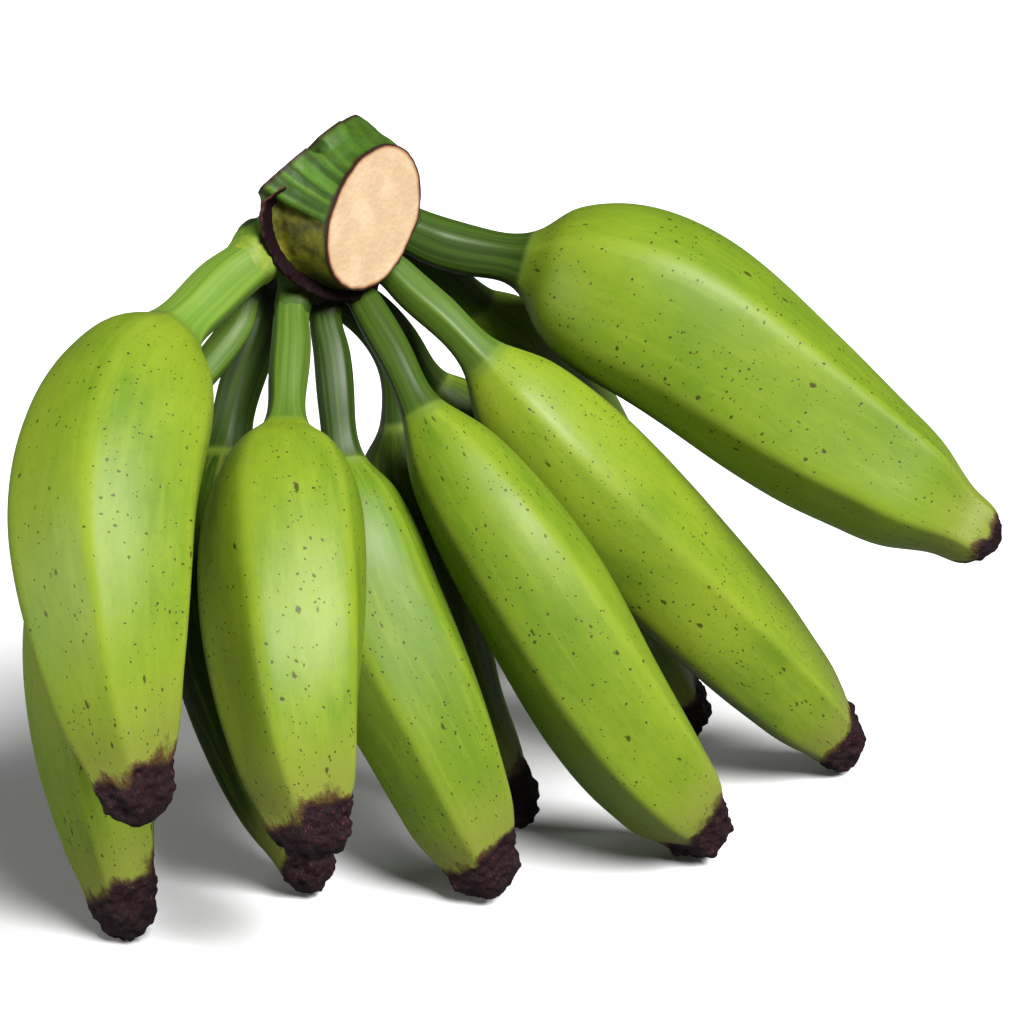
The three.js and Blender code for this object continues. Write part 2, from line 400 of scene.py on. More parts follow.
def crumbled(points, seed):
    """How far in mm the dry end stands out at each point: big lumps, small ones and creases."""
    big, small = slow_noise(points, 5.5 * MM, seed), slow_noise(points, 2.2 * MM, seed)
    creases = 0.35 - np.abs(slow_noise(points, 3.4 * MM, seed + 5))
    return 1.2 * big + 0.9 * small + 1.2 * creases


def make_fruit(name, seed):
    """One fruit with its lumps and waves, and with the notes that its finish reads."""
    points, places, to_tip, neck, five = fruit_surface(name, seed)
    dark, yellow_and_painted_shade, painted_neck_shade = LOOKS[name][1:]
    normal = outwards(points)
    flat = np.zeros_like(five)
    skin_place = np.stack([20 * MM * np.sin(angle) + flat, 20 * MM * np.cos(angle) + flat,
                           places[:, None] + flat], axis=2)
    edge = dark * MM * (1.2 + 0.35 * normal[..., 0]) \
        + 2.6 * MM * slow_noise(skin_place, 9 * MM, seed) \
        + 0.6 * MM * slow_noise(skin_place, 2.5 * MM, seed + 1)
    dry = ease(-1.1 * MM, 1.1 * MM, edge - to_tip[:, None])
    wave = 0.5 * MM * slow_noise(skin_place * (1, 1, 0.6), 22 * MM, seed + 2)
    wave = wave * (1 - 0.6 * neck[:, None]) * (1 - dry)
    lumpy = ease(-1.1 * MM, 4 * MM, edge - to_tip[:, None])
    lift = wave + (lumpy * (crumbled(points, seed) - 0.1) - DRY_SINKS * dry) * MM
    points = points + normal * lift[..., None]
    points[..., 2] = np.maximum(points[..., 2], LOWEST)

    piece = new_piece(name + "_skin", closed(points), grid_faces(len(points), AROUND))
    ridge = np.clip((five - five.min(axis=1, keepdims=True))
                    / (np.ptp(five, axis=1)[:, None] + 1e-9), 0, 1)
    note(piece, "skin_place", closed(skin_place + np.array((0, 0, 0.31 * seed))))
    note(piece, "to_dry", closed(to_tip[:, None] - edge))
    note(piece, "dry", closed(dry))
    note(piece, "ridge", closed(ridge))
    note(piece, "neck", closed(neck[:, None] + flat))
    note(piece, "yellow_and_painted_shade", closed(yellow_and_painted_shade + flat))
    # painted shade on the neck, stronger near the root where the necks crowd under the crown
    note(piece, "painted_neck_shade", closed(painted_neck_shade + 0.35 * (1 - painted_neck_shade) * np.exp(-places / (12 * MM))[:, None]
                                + flat))
    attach(piece, "root")
    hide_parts(name)
    return piece


fruits = {name: make_fruit(name, 1 + i) for i, name in enumerate(FRUITS)}
print("fruits made:", len(fruits), "points each about",
      sum(len(p.data.vertices) for p in fruits.values()) // len(fruits))

# %% [markdown]
# ## Shader helpers
# Materials are trees of nodes. A few short helpers keep the trees readable: one adds a node
# and wires it up, and the others add the small sums and mixes that every finish needs.

# %% Node helpers


def linear(red, green, blue):
    """A colour given as on a screen, from 0 to 255, as the linear colour that nodes use."""
    def one(c):
        c /= 255
        return c / 12.92 if c <= 0.04045 else ((c + 0.055) / 1.055) ** 2.4
    return (one(red), one(green), one(blue), 1)


def wire(tree, socket, value):
    if isinstance(value, bpy.types.NodeSocket):
        tree.links.new(value, socket)
    else:
        socket.default_value = value


def add(tree, kind, inputs, **settings):
    """A new node with its settings and its inputs, each a value or another node's output."""
    node = tree.nodes.new("ShaderNode" + kind)
    for name, value in settings.items():
        setattr(node, name, value)
    for name, value in inputs.items():
        wire(tree, node.inputs[name], value)
    return node


def maths(tree, operation, a, b=0.0, clamp=False):
    return add(tree, "Math", {0: a, 1: b}, operation=operation, use_clamp=clamp).outputs[0]


def mix(tree, factor, a, b, blend="MIX"):
    node = add(tree, "Mix", {0: factor, 6: a, 7: b}, data_type="RGBA", blend_type=blend)
    return node.outputs[2]


def step(tree, value, low, high):
    """0 below low, 1 above high, softly between. low may be the larger one."""
    return add(tree, "MapRange", {"Value": value, "From Min": low, "From Max": high},
               interpolation_type="SMOOTHSTEP").outputs[0]


def fractal(tree, place, scale, detail=3.0, rough=0.55, stretch=(1, 1, 1)):
    """Noise from 0 to 1 with this many features to the metre, stretched along an axis."""
    scaled = add(tree, "Mapping", {"Vector": place, "Scale": stretch}).outputs[0]
    return add(tree, "TexNoise", {"Vector": scaled, "Scale": scale, "Detail": detail,
                                  "Roughness": rough}).outputs[0]


def noted(tree, name):
    """The output of an attribute that was stored on the points."""
    node = tree.nodes.new("ShaderNodeAttribute")
    node.attribute_name = name
    return node.outputs["Vector" if name == "skin_place" else "Fac"]


def new_group(name, takes, gives):
    """An empty node group with named sockets, and its two end nodes."""
    tree = bpy.data.node_groups.new(name, "ShaderNodeTree")
    for socket, (kind, value) in takes.items():
        made = tree.interface.new_socket(socket, in_out="INPUT", socket_type="NodeSocket" + kind)
        if value is not None:
            made.default_value = value
    for socket, kind in gives.items():
        tree.interface.new_socket(socket, in_out="OUTPUT", socket_type="NodeSocket" + kind)
    return tree, tree.nodes.new("NodeGroupInput"), tree.nodes.new("NodeGroupOutput")


def use_group(tree, group, inputs):
    node = tree.nodes.new("ShaderNodeGroup")
    node.node_tree = group
    for name, value in inputs.items():
        wire(tree, node.inputs[name], value)
    return node


print("mid grey of a screen in linear light:", round(linear(128, 128, 128)[0], 3))

# %% [markdown]
# ## Specks
# The skin carries small dark specks, most under a millimetre wide. They sit irregularly, in
# loose clusters, and some are short streaks along the fruit. A Voronoi texture scatters one
# point in each cell, and the distance to it draws a dot. Each cell's own random colour decides
# how big its dot is or that it has none, and a slow noise makes the clusters.

# %% Node group: specks
specks_group, g_in, g_out = new_group(
    "Specks",
    {"Place": ("Vector", None), "Cells per metre": ("Float", 220.0),
     "Radius": ("Float", 0.16), "Share": ("Float", 0.5), "Stretch": ("Float", 1.0)},
    {"Mask": "Float"})
tree = specks_group
length_scale = add(tree, "CombineXYZ", {"X": 1.0, "Y": 1.0, "Z": g_in.outputs["Stretch"]})
placed = add(tree, "VectorMath", {0: g_in.outputs["Place"], 1: length_scale.outputs[0]},
             operation="MULTIPLY").outputs[0]
wobble = add(tree, "TexNoise", {"Vector": placed, "Scale": 900.0, "Detail": 1.0})
shake = add(tree, "VectorMath", {0: wobble.outputs["Color"], 1: (0.0011, 0.0011, 0.0011)},
            operation="MULTIPLY").outputs[0]
shaken = add(tree, "VectorMath", {0: placed, 1: shake}, operation="ADD").outputs[0]
cells = add(tree, "TexVoronoi", {"Vector": shaken, "Scale": g_in.outputs["Cells per metre"],
                                 "Randomness": 1.0})
chance = add(tree, "SeparateColor", {0: cells.outputs["Color"]})
cluster = fractal(tree, placed, 45.0, 2.0)
wanted = maths(tree, "MULTIPLY", g_in.outputs["Share"],
               step(tree, cluster, 0.3, 0.58))
kept = maths(tree, "LESS_THAN", chance.outputs[0], wanted)
size = maths(tree, "MULTIPLY", g_in.outputs["Radius"],
             maths(tree, "ADD", 0.45, maths(tree, "MULTIPLY", chance.outputs[1], 0.75)))
dot = step(tree, maths(tree, "DIVIDE", cells.outputs["Distance"], size), 1.0, 0.55)
wire(tree, g_out.inputs["Mask"], maths(tree, "MULTIPLY", dot, kept))
print("group", tree.name, "has", len(tree.nodes), "nodes")

# %% [markdown]
# ## Mottled skin
# Up close the green is not even. Wide soft patches lean to yellow or to deep green, and fine
# fibres run along the fruit. The group mixes three greens with slow noise and long streaks.
# It also paints light and shade: a paler line along each ridge is a painted highlight, a
# value below 0 gives the deep green of painted shade, and the necks darken with painted shade.

# %% Node group: mottled skin
mottle_group, g_in, g_out = new_group(
    "Mottled skin",
    {"Place": ("Vector", None), "Yellow and painted shade": ("Float", 0.5), "Neck": ("Float", 0.0),
     "Ridge": ("Float", 0.0), "Painted neck shade": ("Float", 0.0)},
    {"Color": "Color", "Height": "Float"})
tree = mottle_group
place = g_in.outputs["Place"]
patches = fractal(tree, place, 38.0, 4.0, 0.6, (1, 1, 0.55))
streaks = fractal(tree, place, 420.0, 3.0, 0.6, (1, 1, 0.12))
grain = fractal(tree, place, 900.0, 2.0, 0.6, (1, 1, 0.5))
lean = maths(tree, "ADD", patches, maths(tree, "MULTIPLY", g_in.outputs["Yellow and painted shade"], 0.3))
greens = mix(tree, step(tree, lean, 0.35, 1.0), linear(84, 110, 19), linear(112, 130, 27))
# below 0 the skin turns deep green: painted shade on fruits that stand behind and among others
greens = mix(tree, step(tree, g_in.outputs["Yellow and painted shade"], 0.0, -1.2), greens, linear(34, 56, 4))
deeper = mix(tree, maths(tree, "MULTIPLY", step(tree, patches, 0.5, 0.2), 0.5), greens,
             linear(69, 99, 13))
lined = mix(tree, maths(tree, "MULTIPLY", step(tree, streaks, 0.46, 0.72), 0.28), deeper,
            linear(117, 134, 39))
grained = mix(tree, maths(tree, "MULTIPLY", step(tree, grain, 0.5, 0.75), 0.16), lined,
              linear(56, 81, 11))
# a paler line along each ridge crest: a painted highlight
painted_ridge_highlight = mix(tree, maths(tree, "MULTIPLY", step(tree, g_in.outputs["Ridge"], 0.75, 1.0), 0.25),
             grained, linear(124, 138, 43))
shoulder = mix(tree, step(tree, maths(tree, "ADD", g_in.outputs["Neck"],
                                      maths(tree, "MULTIPLY", patches, 0.3)), 0.25, 0.95),
               painted_ridge_highlight, linear(87, 108, 32))
stripes = fractal(tree, place, 260.0, 2.0, 0.5, (1, 1, 0.05))
light_stem = mix(tree, step(tree, stripes, 0.3, 0.7), linear(82, 112, 32),
                 linear(98, 126, 44))
# the neck's green in painted shade, mixed in by the painted neck shade value
stem_in_painted_shade = mix(tree, step(tree, stripes, 0.3, 0.7), linear(32, 50, 8), linear(50, 72, 17))
stem_green = mix(tree, g_in.outputs["Painted neck shade"], light_stem, stem_in_painted_shade)
neck = mix(tree, step(tree, g_in.outputs["Neck"], 0.75, 1.0), shoulder, stem_green)
wire(tree, g_out.inputs["Color"], neck)
wire(tree, g_out.inputs["Height"],
     maths(tree, "ADD", maths(tree, "MULTIPLY", streaks, 0.6),
           maths(tree, "MULTIPLY", grain, 0.4)))
print("group", tree.name, "has", len(tree.nodes), "nodes")

# %% [markdown]
# ## Browning towards the dry end
# The last centimetres of skin turn yellowish, then olive brown, and then the dark dry flower
# begins. The brown climbs higher in some places than in others, so the distance to the tip is
# shifted by noise before it is turned into masks.

# %% Node group: browning
brown_group, g_in, g_out = new_group(
    "Browning",
    {"Place": ("Vector", None), "To dry": ("Float", 1.0)},
    {"Yellowing": "Float", "Brown": "Float"})
tree = brown_group
ragged = fractal(tree, g_in.outputs["Place"], 330.0, 4.0, 0.65, (1, 1, 0.8))
broad = fractal(tree, g_in.outputs["Place"], 70.0, 2.0)
moved = maths(tree, "ADD", g_in.outputs["To dry"],
              maths(tree, "MULTIPLY", maths(tree, "SUBTRACT", ragged, 0.5), 0.008))
moved = maths(tree, "ADD", moved,
              maths(tree, "MULTIPLY", maths(tree, "SUBTRACT", broad, 0.5), 0.012))
wire(tree, g_out.inputs["Yellowing"], step(tree, moved, 0.026, 0.002))
wire(tree, g_out.inputs["Brown"], step(tree, moved, 0.0042, 0.0))
print("group", tree.name, "has", len(tree.nodes), "nodes")

# %% [markdown]
# ## The peel
# One material covers a whole fruit. The masks stored on the points and the three groups give
# the colour. Living skin is waxy, so its reflections are broad and soft. The dry flower is
# rough and dull. Only the shader itself holds the values that are the same everywhere.

# %% Material: peel


def new_material(name, **values):
    """A material with a Principled shader, and constant values on its own sockets."""
    material = bpy.data.materials.new(name)
    material.use_nodes = True
    shader = material.node_tree.nodes["Principled BSDF"]
    for socket, value in values.items():
        shader.inputs[socket.replace("_", " ")].default_value = value
    return material, material.node_tree, shader


peel, tree, shader = new_material("peel", IOR=1.3)
place = noted(tree, "skin_place")
dry, ridge, neck = (noted(tree, n) for n in ("dry", "ridge", "neck"))
skin = use_group(tree, mottle_group, {"Place": place, "Yellow and painted shade": noted(tree, "yellow_and_painted_shade"),
                                      "Neck": neck, "Ridge": ridge,
                                      "Painted neck shade": noted(tree, "painted_neck_shade")})
browning = use_group(tree, brown_group, {"Place": place, "To dry": noted(tree, "to_dry")})
dots = use_group(tree, specks_group, {"Place": place, "Cells per metre": 380.0,
                                      "Radius": 0.19, "Share": 1.0})
fine_dots = use_group(tree, specks_group, {"Place": place, "Cells per metre": 560.0,
                                           "Radius": 0.19, "Share": 0.8})
dashes = use_group(tree, specks_group, {"Place": place, "Cells per metre": 190.0,
                                        "Radius": 0.14, "Share": 0.8, "Stretch": 0.55})
colour = mix(tree, maths(tree, "MULTIPLY", browning.outputs["Yellowing"], 0.75),
             skin.outputs["Color"], linear(112, 117, 45))
clear = maths(tree, "SUBTRACT", 1.0, neck, clamp=True)
spotted = maths(tree, "MAXIMUM", dots.outputs["Mask"],
                maths(tree, "MAXIMUM", fine_dots.outputs["Mask"], dashes.outputs["Mask"]))
spotted = maths(tree, "MULTIPLY", spotted, maths(tree, "MULTIPLY", clear, 0.85))
colour = mix(tree, spotted, colour, linear(44, 38, 6))
colour = mix(tree, maths(tree, "MULTIPLY", browning.outputs["Brown"], 0.9), colour,
             linear(64, 36, 18))
crumbs = fractal(tree, place, 800.0, 3.0, 0.7)
dark = mix(tree, step(tree, crumbs, 0.56, 0.8), linear(21, 2, 7), linear(104, 44, 44))
colour = mix(tree, dry, colour, dark)
wire(tree, shader.inputs["Base Color"], colour)

bloom = fractal(tree, place, 60.0, 4.0, 0.65, (1, 1, 0.35))
gloss = maths(tree, "ADD", 0.33, maths(tree, "MULTIPLY", bloom, 0.26))
dull = maths(tree, "MAXIMUM", dry, maths(tree, "MULTIPLY", browning.outputs["Brown"], 0.8))
wire(tree, shader.inputs["Roughness"],
     maths(tree, "ADD", gloss, maths(tree, "MULTIPLY", dull, 0.25)))
height = maths(tree, "ADD", maths(tree, "MULTIPLY", skin.outputs["Height"], 0.00004),
               maths(tree, "MULTIPLY", spotted, -0.00006))
height = maths(tree, "ADD", height,
               maths(tree, "MULTIPLY", maths(tree, "MULTIPLY", crumbs, dull), 0.0009))
bump = add(tree, "Bump", {"Height": height, "Strength": 1.0, "Distance": 1.0})
wire(tree, shader.inputs["Normal"], bump.outputs[0])
for piece in fruits.values():
    piece.data.materials.append(peel)
print("peel on", len(fruits), "fruits")

# %% [markdown]
# ## The stalk
# The stalk is a short piece of the plant's stem, cut twice: straight across in front, and at a
# slant behind. Ribbed green skin covers its top. On its left and underneath, a leafy bract
# once grew, and left a hollow olive band behind a curled dark lip.
#
# The base shape is drawn in the stem's own directions: along its axis, to its side and up.
# It is joined with the cushion under it and a collar for every neck, as three kinds of closed
# shells that overlap. A voxel remesh keeps only their outer surface, and a little relaxing
# turns the creases between them into the soft fillets of something that grew together.

# %% Measure the cuts and the stem
CUT_FROM_CROWN = 17.8 * MM
STEM = Vector((0.74, -0.66, 0.13)).normalized()
ACROSS = STEM.cross(Vector((0, 0, 1))).normalized()
UPWARD = ACROSS.cross(STEM)


def flat_faces(node, count):
    """The largest flat faces of a solid, as (normal, a place in its middle)."""
    groups = {}
    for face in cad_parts[node].data.polygons:
        key = tuple(round(x, 3) for x in face.normal)
        area, sums = groups.get(key, (0.0, Vector()))
        groups[key] = area + face.area, sums + face.center * face.area
    largest = sorted(groups.items(), key=lambda g: -g[1][0])[:count]
    return [(Vector(key).normalized(), sums / area) for key, (area, sums) in largest]


flats = sorted(flat_faces("stalk", 2), key=lambda f: f[0].y)
(front_normal, front_middle), (back_normal, back_middle) = flats
crown = front_middle - STEM * CUT_FROM_CROWN
print("front cut faces", [round(x, 2) for x in front_normal],
      "and back cut", [round(x, 2) for x in back_normal])

# %% Shape of the stem
# Outlines in mm: places along the axis from the crown, and the reach at each of them.
TOP_PLACE, TOP_REACH = [-17, -16, -10, -4, 0, 9.5, 19, 28], [0, 9, 20, 28, 30.5, 24.4, 19.6, 19]
LOW_PLACE, LOW_REACH = [-17, -16, -10, -4, 0, 3, 9.5, 28], [0, 9, 18, 24.5, 26.4, 23, 21, 18.6]
CREASE_BACK, CREASE_FRONT, LIP_END = 24, 4, -150  # degrees round the stem; 0 is its left
OVAL_TURN, OVAL = 122, 0.08  # the front cut is this much longer towards the upper right


def degrees_round(points):
    """(degrees round the stem, place along it, reach from its axis) of each point."""
    apart = points - np.array(crown)
    left, up = apart @ np.array(ACROSS), apart @ np.array(UPWARD)
    return np.degrees(np.arctan2(up, left)), apart @ np.array(STEM), np.hypot(left, up)


def under_lip(degrees, place):
    """1 in the hollow band left by the bract and 0 on the ribbed skin."""
    crease = CREASE_BACK + (CREASE_FRONT - CREASE_BACK) * np.clip(place / (17 * MM), 0, 1)
    return (1 - ease(-3, 3, degrees - crease)) * ease(LIP_END - 15, LIP_END, degrees)


def stem_point(degrees, place, reach):
    """The point at this turn round the stem, place along it and reach from its axis."""
    turn = np.radians(degrees)
    return np.array(crown) + np.array(STEM) * place[..., None] \
        + np.array(ACROSS) * (reach * np.cos(turn))[..., None] \
        + np.array(UPWARD) * (reach * np.sin(turn))[..., None]


def stem_shell():
    """The stem itself, from a point inside the crown to past the front cut."""
    degrees, place = np.meshgrid(np.linspace(-180, 180, 160, endpoint=False),
                                 np.linspace(-16.9, 28, 90) * MM)
    band = under_lip(degrees, place)
    top = np.interp(place / MM, TOP_PLACE, TOP_REACH)
    low = np.interp(place / MM, LOW_PLACE, LOW_REACH)
    oval = 1 + OVAL * ease(2 * MM, 16 * MM, place) * np.cos(2 * np.radians(degrees - OVAL_TURN))
    return stem_point(degrees, place, (top + (low - top) * band) * oval * MM)


def cushion_shell():
    """The thick pad under the crown, an egg shape in the stem's directions."""
    degrees, tilt = np.meshgrid(np.linspace(-180, 180, 64, endpoint=False),
                                np.linspace(-89, 89, 40))
    turn, tilt = np.radians(degrees), np.radians(tilt)
    left, up, along = (np.cos(tilt) * np.cos(turn) * 22 - 4, np.cos(tilt) * np.sin(turn) * 19 - 10,
                       np.sin(tilt) * 15 - 10)
    return np.array(crown) + (left[..., None] * np.array(ACROSS) + up[..., None] * np.array(UPWARD)
                              + along[..., None] * np.array(STEM)) * MM


def collar_shell(name, seed):
    """A sleeve round the first part of a neck, which dives under the neck's skin at its end."""
    points, places = fruit_surface(name, seed)[:2]
    near = places < 20 * MM
    points, places = points[near], places[near]
    middle = points.mean(axis=1, keepdims=True)
    swell = 1.16 - 0.28 * ease(8 * MM, 20 * MM, places)
    return middle + (points - middle) * swell[:, None, None]


print("crown at", [round(x / MM, 1) for x in crown], "mm")

# %% Join the shells and soften them
shells = [stem_shell(), cushion_shell()] + [collar_shell(n, 1 + i) for i, n in enumerate(FRUITS)]
points, faces = [], []
for shell in shells:
    faces += [tuple(v + len(points) for v in f) for f in grid_faces(len(shell), shell.shape[1])]
    points += list(closed(shell))
stalk = new_piece("stalk_skin", points, faces)


def make_even(piece, cell):
    """Swaps the mesh for one of even cells that keeps only the outer surface."""
    even = piece.modifiers.new("even", "REMESH")
    even.mode, even.voxel_size = "VOXEL", cell
    graph = bpy.context.evaluated_depsgraph_get()
    fine = bpy.data.meshes.new_from_object(piece.evaluated_get(graph))
    piece.modifiers.clear()
    piece.data = fine


def relax(piece, rounds):
    """Moves every point half way to the middle of its neighbours, again and again."""
    mesh = piece.data
    spots = np.empty(len(mesh.vertices) * 3)
    mesh.vertices.foreach_get("co", spots)
    spots = spots.reshape(-1, 3)
    ends = np.empty(len(mesh.edges) * 2, int)
    mesh.edges.foreach_get("vertices", ends)
    one, other = ends.reshape(-1, 2).T
    count = np.bincount(ends, minlength=len(spots))[:, None]
    for _ in range(rounds):
        total = np.zeros_like(spots)
        np.add.at(total, one, spots[other])
        np.add.at(total, other, spots[one])
        spots += 0.5 * (total / count - spots)
    mesh.vertices.foreach_set("co", spots.ravel())
    mesh.update()
    return spots


make_even(stalk, 0.6 * MM)
spots = relax(stalk, 10)
print("stalk points after the remesh:", len(spots))

# %% Ribs and the torn notch
def rib_waves(degrees, place):
    """Coarse and fine ribs, -1 to 1. They drift apart, wind slowly, and are clear on the left."""
    turned = np.radians(degrees + 1.1 * place / MM)
    drift = np.array([noise.noise(Vector((a, 0, 0))) for a in turned * 4])
    clear = 0.15 + 0.85 * np.exp(-((degrees - 36) / 22) ** 2)
    return (0.6 * np.cos(turned * 26 + 2.4 * drift) + 0.25 * np.cos(turned * 61 + 4 * drift)) \
        * clear


normals = np.empty(len(spots) * 3)
stalk.data.vertex_normals.foreach_get("vector", normals)
normals = normals.reshape(-1, 3)
degrees, place, reach = degrees_round(spots)
band = under_lip(degrees, place)
on_stem = ease(-9 * MM, -4 * MM, place) * ease(17 * MM, 21 * MM, reach) * ease(-20, 5, degrees)
to_back = (np.array(back_middle) - spots) @ np.array(back_normal)
at_rim = ease(15 * MM, 20 * MM, reach)
torn = np.exp(-((degrees - 62) / 2.4) ** 2) * (1 - ease(1.5 * MM, 5 * MM, to_back)) * at_rim
flap = ease(65, 68, degrees) * (1 - ease(88, 96, degrees)) \
    * (1 - ease(2 * MM, 6 * MM, to_back)) * at_rim
rough = slow_noise(spots, 3 * MM, 4)
ribs = 0.32 * rib_waves(degrees, place) * on_stem * (1 - 0.7 * band)
lift = ribs - 3.0 * torn + 1.8 * flap + 0.18 * rough
spots += normals * (lift * MM)[:, None]
stalk.data.vertices.foreach_set("co", spots.ravel())
stalk.data.update()
print("ribs lift the skin by up to", round(float(lift.max()), 2), "mm")

# %% [markdown]
# ## Flat cuts
# A bisect slices the mesh along each cut and throws the outer part away. The open edge is
# closed with rings that shrink to the middle, which gives the cut flesh points of its own and
# lets each of them know how far it is from the skin.

# %% Cut the stalk
RING_SHARES = [0.985, 0.965, 0.94, 0.9, 0.82, 0.7, 0.56, 0.42, 0.28, 0.14]


def loop_in_order(edges):
    """The corners of a closed loop of edges, one after the other."""
    near = {}
    for edge in edges:
        a, b = edge.verts
        near.setdefault(a, []).append(b)
        near.setdefault(b, []).append(a)
    order, before = [edges[0].verts[0]], None
    while True:
        ahead = [v for v in near[order[-1]] if v is not before]
        if ahead[0] is order[0] or len(order) > len(edges):
            return order
        before = order[-1]
        order.append(ahead[0])


def cut_across(piece, middle, normal):
    """Cuts the mesh flat, closes it with rings, and stores how far each is from the rim."""
    work = bmesh.new()
    work.from_mesh(piece.data)
    depth = work.verts.layers.float.get("from_rim") or work.verts.layers.float.new("from_rim")
    everything = work.verts[:] + work.edges[:] + work.faces[:]
    sliced = bmesh.ops.bisect_plane(work, geom=everything, plane_co=middle, plane_no=normal,
                                    clear_outer=True, dist=1e-6)
    edges = [e for e in sliced["geom_cut"] if isinstance(e, bmesh.types.BMEdge)]
    for edge in edges:
        edge.smooth = False
    ring = loop_in_order(edges)
    heart = sum((v.co for v in ring), Vector()) / len(ring)
    rim = [v.co.copy() for v in ring]
    made = []
    for share in RING_SHARES + [0]:
        inner = [work.verts.new(heart + (r - heart) * share) for r in rim] if share \
            else [work.verts.new(heart)] * len(rim)
        for vert, r in zip(inner, rim):
            vert[depth] = (r - vert.co).length
        for i in range(len(rim)):
            j = (i + 1) % len(rim)
            corners = (ring[i], ring[j], inner[j], inner[i])
            made.append(work.faces.new(corners if share else corners[:3]))
        ring = inner
    work.normal_update()
    if sum((f.normal for f in made), Vector()).dot(normal) < 0:
        bmesh.ops.reverse_faces(work, faces=made)
    for face in made:
        face.material_index, face.smooth = 1, True
    work.to_mesh(piece.data)
    work.free()
    return len(rim)


for middle, normal in ((front_middle, front_normal), (back_middle, back_normal)):
    print("cut with", cut_across(stalk, middle, normal), "points on its rim")

# %% Store what the finish needs to know
spots = np.array([v.co for v in stalk.data.vertices])
degrees, place, reach = degrees_round(spots)
to_front = (np.array(front_middle) - spots) @ np.array(front_normal)
to_back = (np.array(back_middle) - spots) @ np.array(back_normal)
note(stalk, "rib", 0.5 + 0.5 * rib_waves(degrees, place))
note(stalk, "band", under_lip(degrees, place) * ease(-1 * MM, 2 * MM, place)
     * ease(17 * MM, 20 * MM, reach) * (1 - ease(26.5 * MM, 28.5 * MM, reach)))
NEAR_ROOT = 16  # rings of the first fruit's neck beside which the collar is yellowish
first_neck = fruit_surface("front_finger_1", 1)[0][:NEAR_ROOT].mean(axis=1)
apart = np.linalg.norm(spots[:, None] - first_neck[None], axis=2).min(axis=1)
note(stalk, "first_neck", (1 - ease(10 * MM, 15 * MM, apart)) * ease(25 * MM, 29 * MM, reach))
note(stalk, "to_rim", np.minimum(np.abs(to_front), np.abs(to_back)))
# painted shade: darker on the underside and on the cushion among the necks, less of it far out
note(stalk, "under", (1 - ease(-75, -20, degrees) * ease(-12 * MM, -2 * MM, place))
     * (1 - 0.6 * ease(27 * MM, 33 * MM, reach)))
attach(stalk, "root")
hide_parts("stalk")
print("stalk faces:", len(stalk.data.polygons))

# %% [markdown]
# ## The bract's lip
# The torn foot of the bract stands up as a thin curled flange. It is swept along an arc round
# the stem as a flat oval section. It leans, waves and thins out with slow noise, and its upper
# end curls forward into the crease.

# %% Sweep the lip
LIP_STEPS, LIP_SECTION, LIP_TOP, LIP_LAST = 150, 14, 29, -112


def lip_points():
    """The lip's points, section by section, and how pale each is: paler at its outer edge (the
    dry cuticle with a painted highlight), and dark with painted shade on its lower part.
    """
    along = np.linspace(0, 1, LIP_STEPS)
    degrees = LIP_TOP + (LIP_LAST - LIP_TOP) * along
    curl = ease(14, 30, degrees)
    waves = np.array([noise.noise(Vector((d * 0.06, 3, 0))) for d in degrees])
    small = np.array([noise.noise(Vector((d * 0.25, 8, 0))) for d in degrees])
    lower = ease(10, -80, degrees)
    place = (1.0 + 5.0 * curl + 7.0 * lower + 0.5 * waves) * MM
    reach = (27.2 - 1.9 * curl - 3.8 * lower + 0.5 * waves + 0.25 * small) * MM
    taper = np.sqrt(np.clip(np.minimum(along / 0.015, (1 - along) / 0.08), 0.02, 1))
    tall = (2.7 - 0.9 * lower + 0.6 * small) * taper * MM
    thick = (1.05 + 0.3 * waves) * taper * MM
    section = np.linspace(0, 2 * math.pi, LIP_SECTION, endpoint=False)
    lean = 0.35 + 0.5 * curl
    out = tall[:, None] * np.cos(section)
    forth = thick[:, None] * np.sin(section) + lean[:, None] * out * (out > 0)
    # the second value is paler at the outer edge (the dry cuticle's colour with a painted highlight);
    # its last term is painted shade that darkens the lower part of the lip
    return stem_point(degrees[:, None] + 0 * section, place[:, None] + forth,
                      reach[:, None] + out), \
        np.cos(section)[None] - 1.2 * (1 - ease(-40, 25, degrees))[:, None]


shell, edge = lip_points()
lip = new_piece("bract_lip", closed(shell), grid_faces(LIP_STEPS, LIP_SECTION))
note(lip, "edge", closed(edge))
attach(lip, "root")
print("lip points:", len(lip.data.vertices))

# %% [markdown]
# ## Finishes of the stalk
# The ribbed skin alternates between light and dark green, and browns within a millimetre of
# each cut, where it has dried. The hollow band is olive. Painted shade darkens the underside
# and the cushion among the necks. The flesh is cream with faint blotches, slightly pink in
# places, and stops at the thin brown rim.

# %% Material: stalk skin
stem_skin, tree, shader = new_material("stem_skin", IOR=1.3)
place = add(tree, "TexCoord", {}).outputs["Object"]
rib, band, under, to_rim = (noted(tree, n) for n in ("rib", "band", "under", "to_rim"))
blotch = fractal(tree, place, 160.0, 4.0, 0.6)
fibres = fractal(tree, place, 700.0, 3.0, 0.6)
green = mix(tree, step(tree, maths(tree, "ADD", rib, maths(tree, "MULTIPLY", blotch, 0.4)),
                       0.45, 1.0), linear(36, 58, 9), linear(62, 94, 20))
olive = mix(tree, step(tree, blotch, 0.35, 0.65), linear(44, 42, 5), linear(92, 92, 14))
colour = mix(tree, band, green, olive)
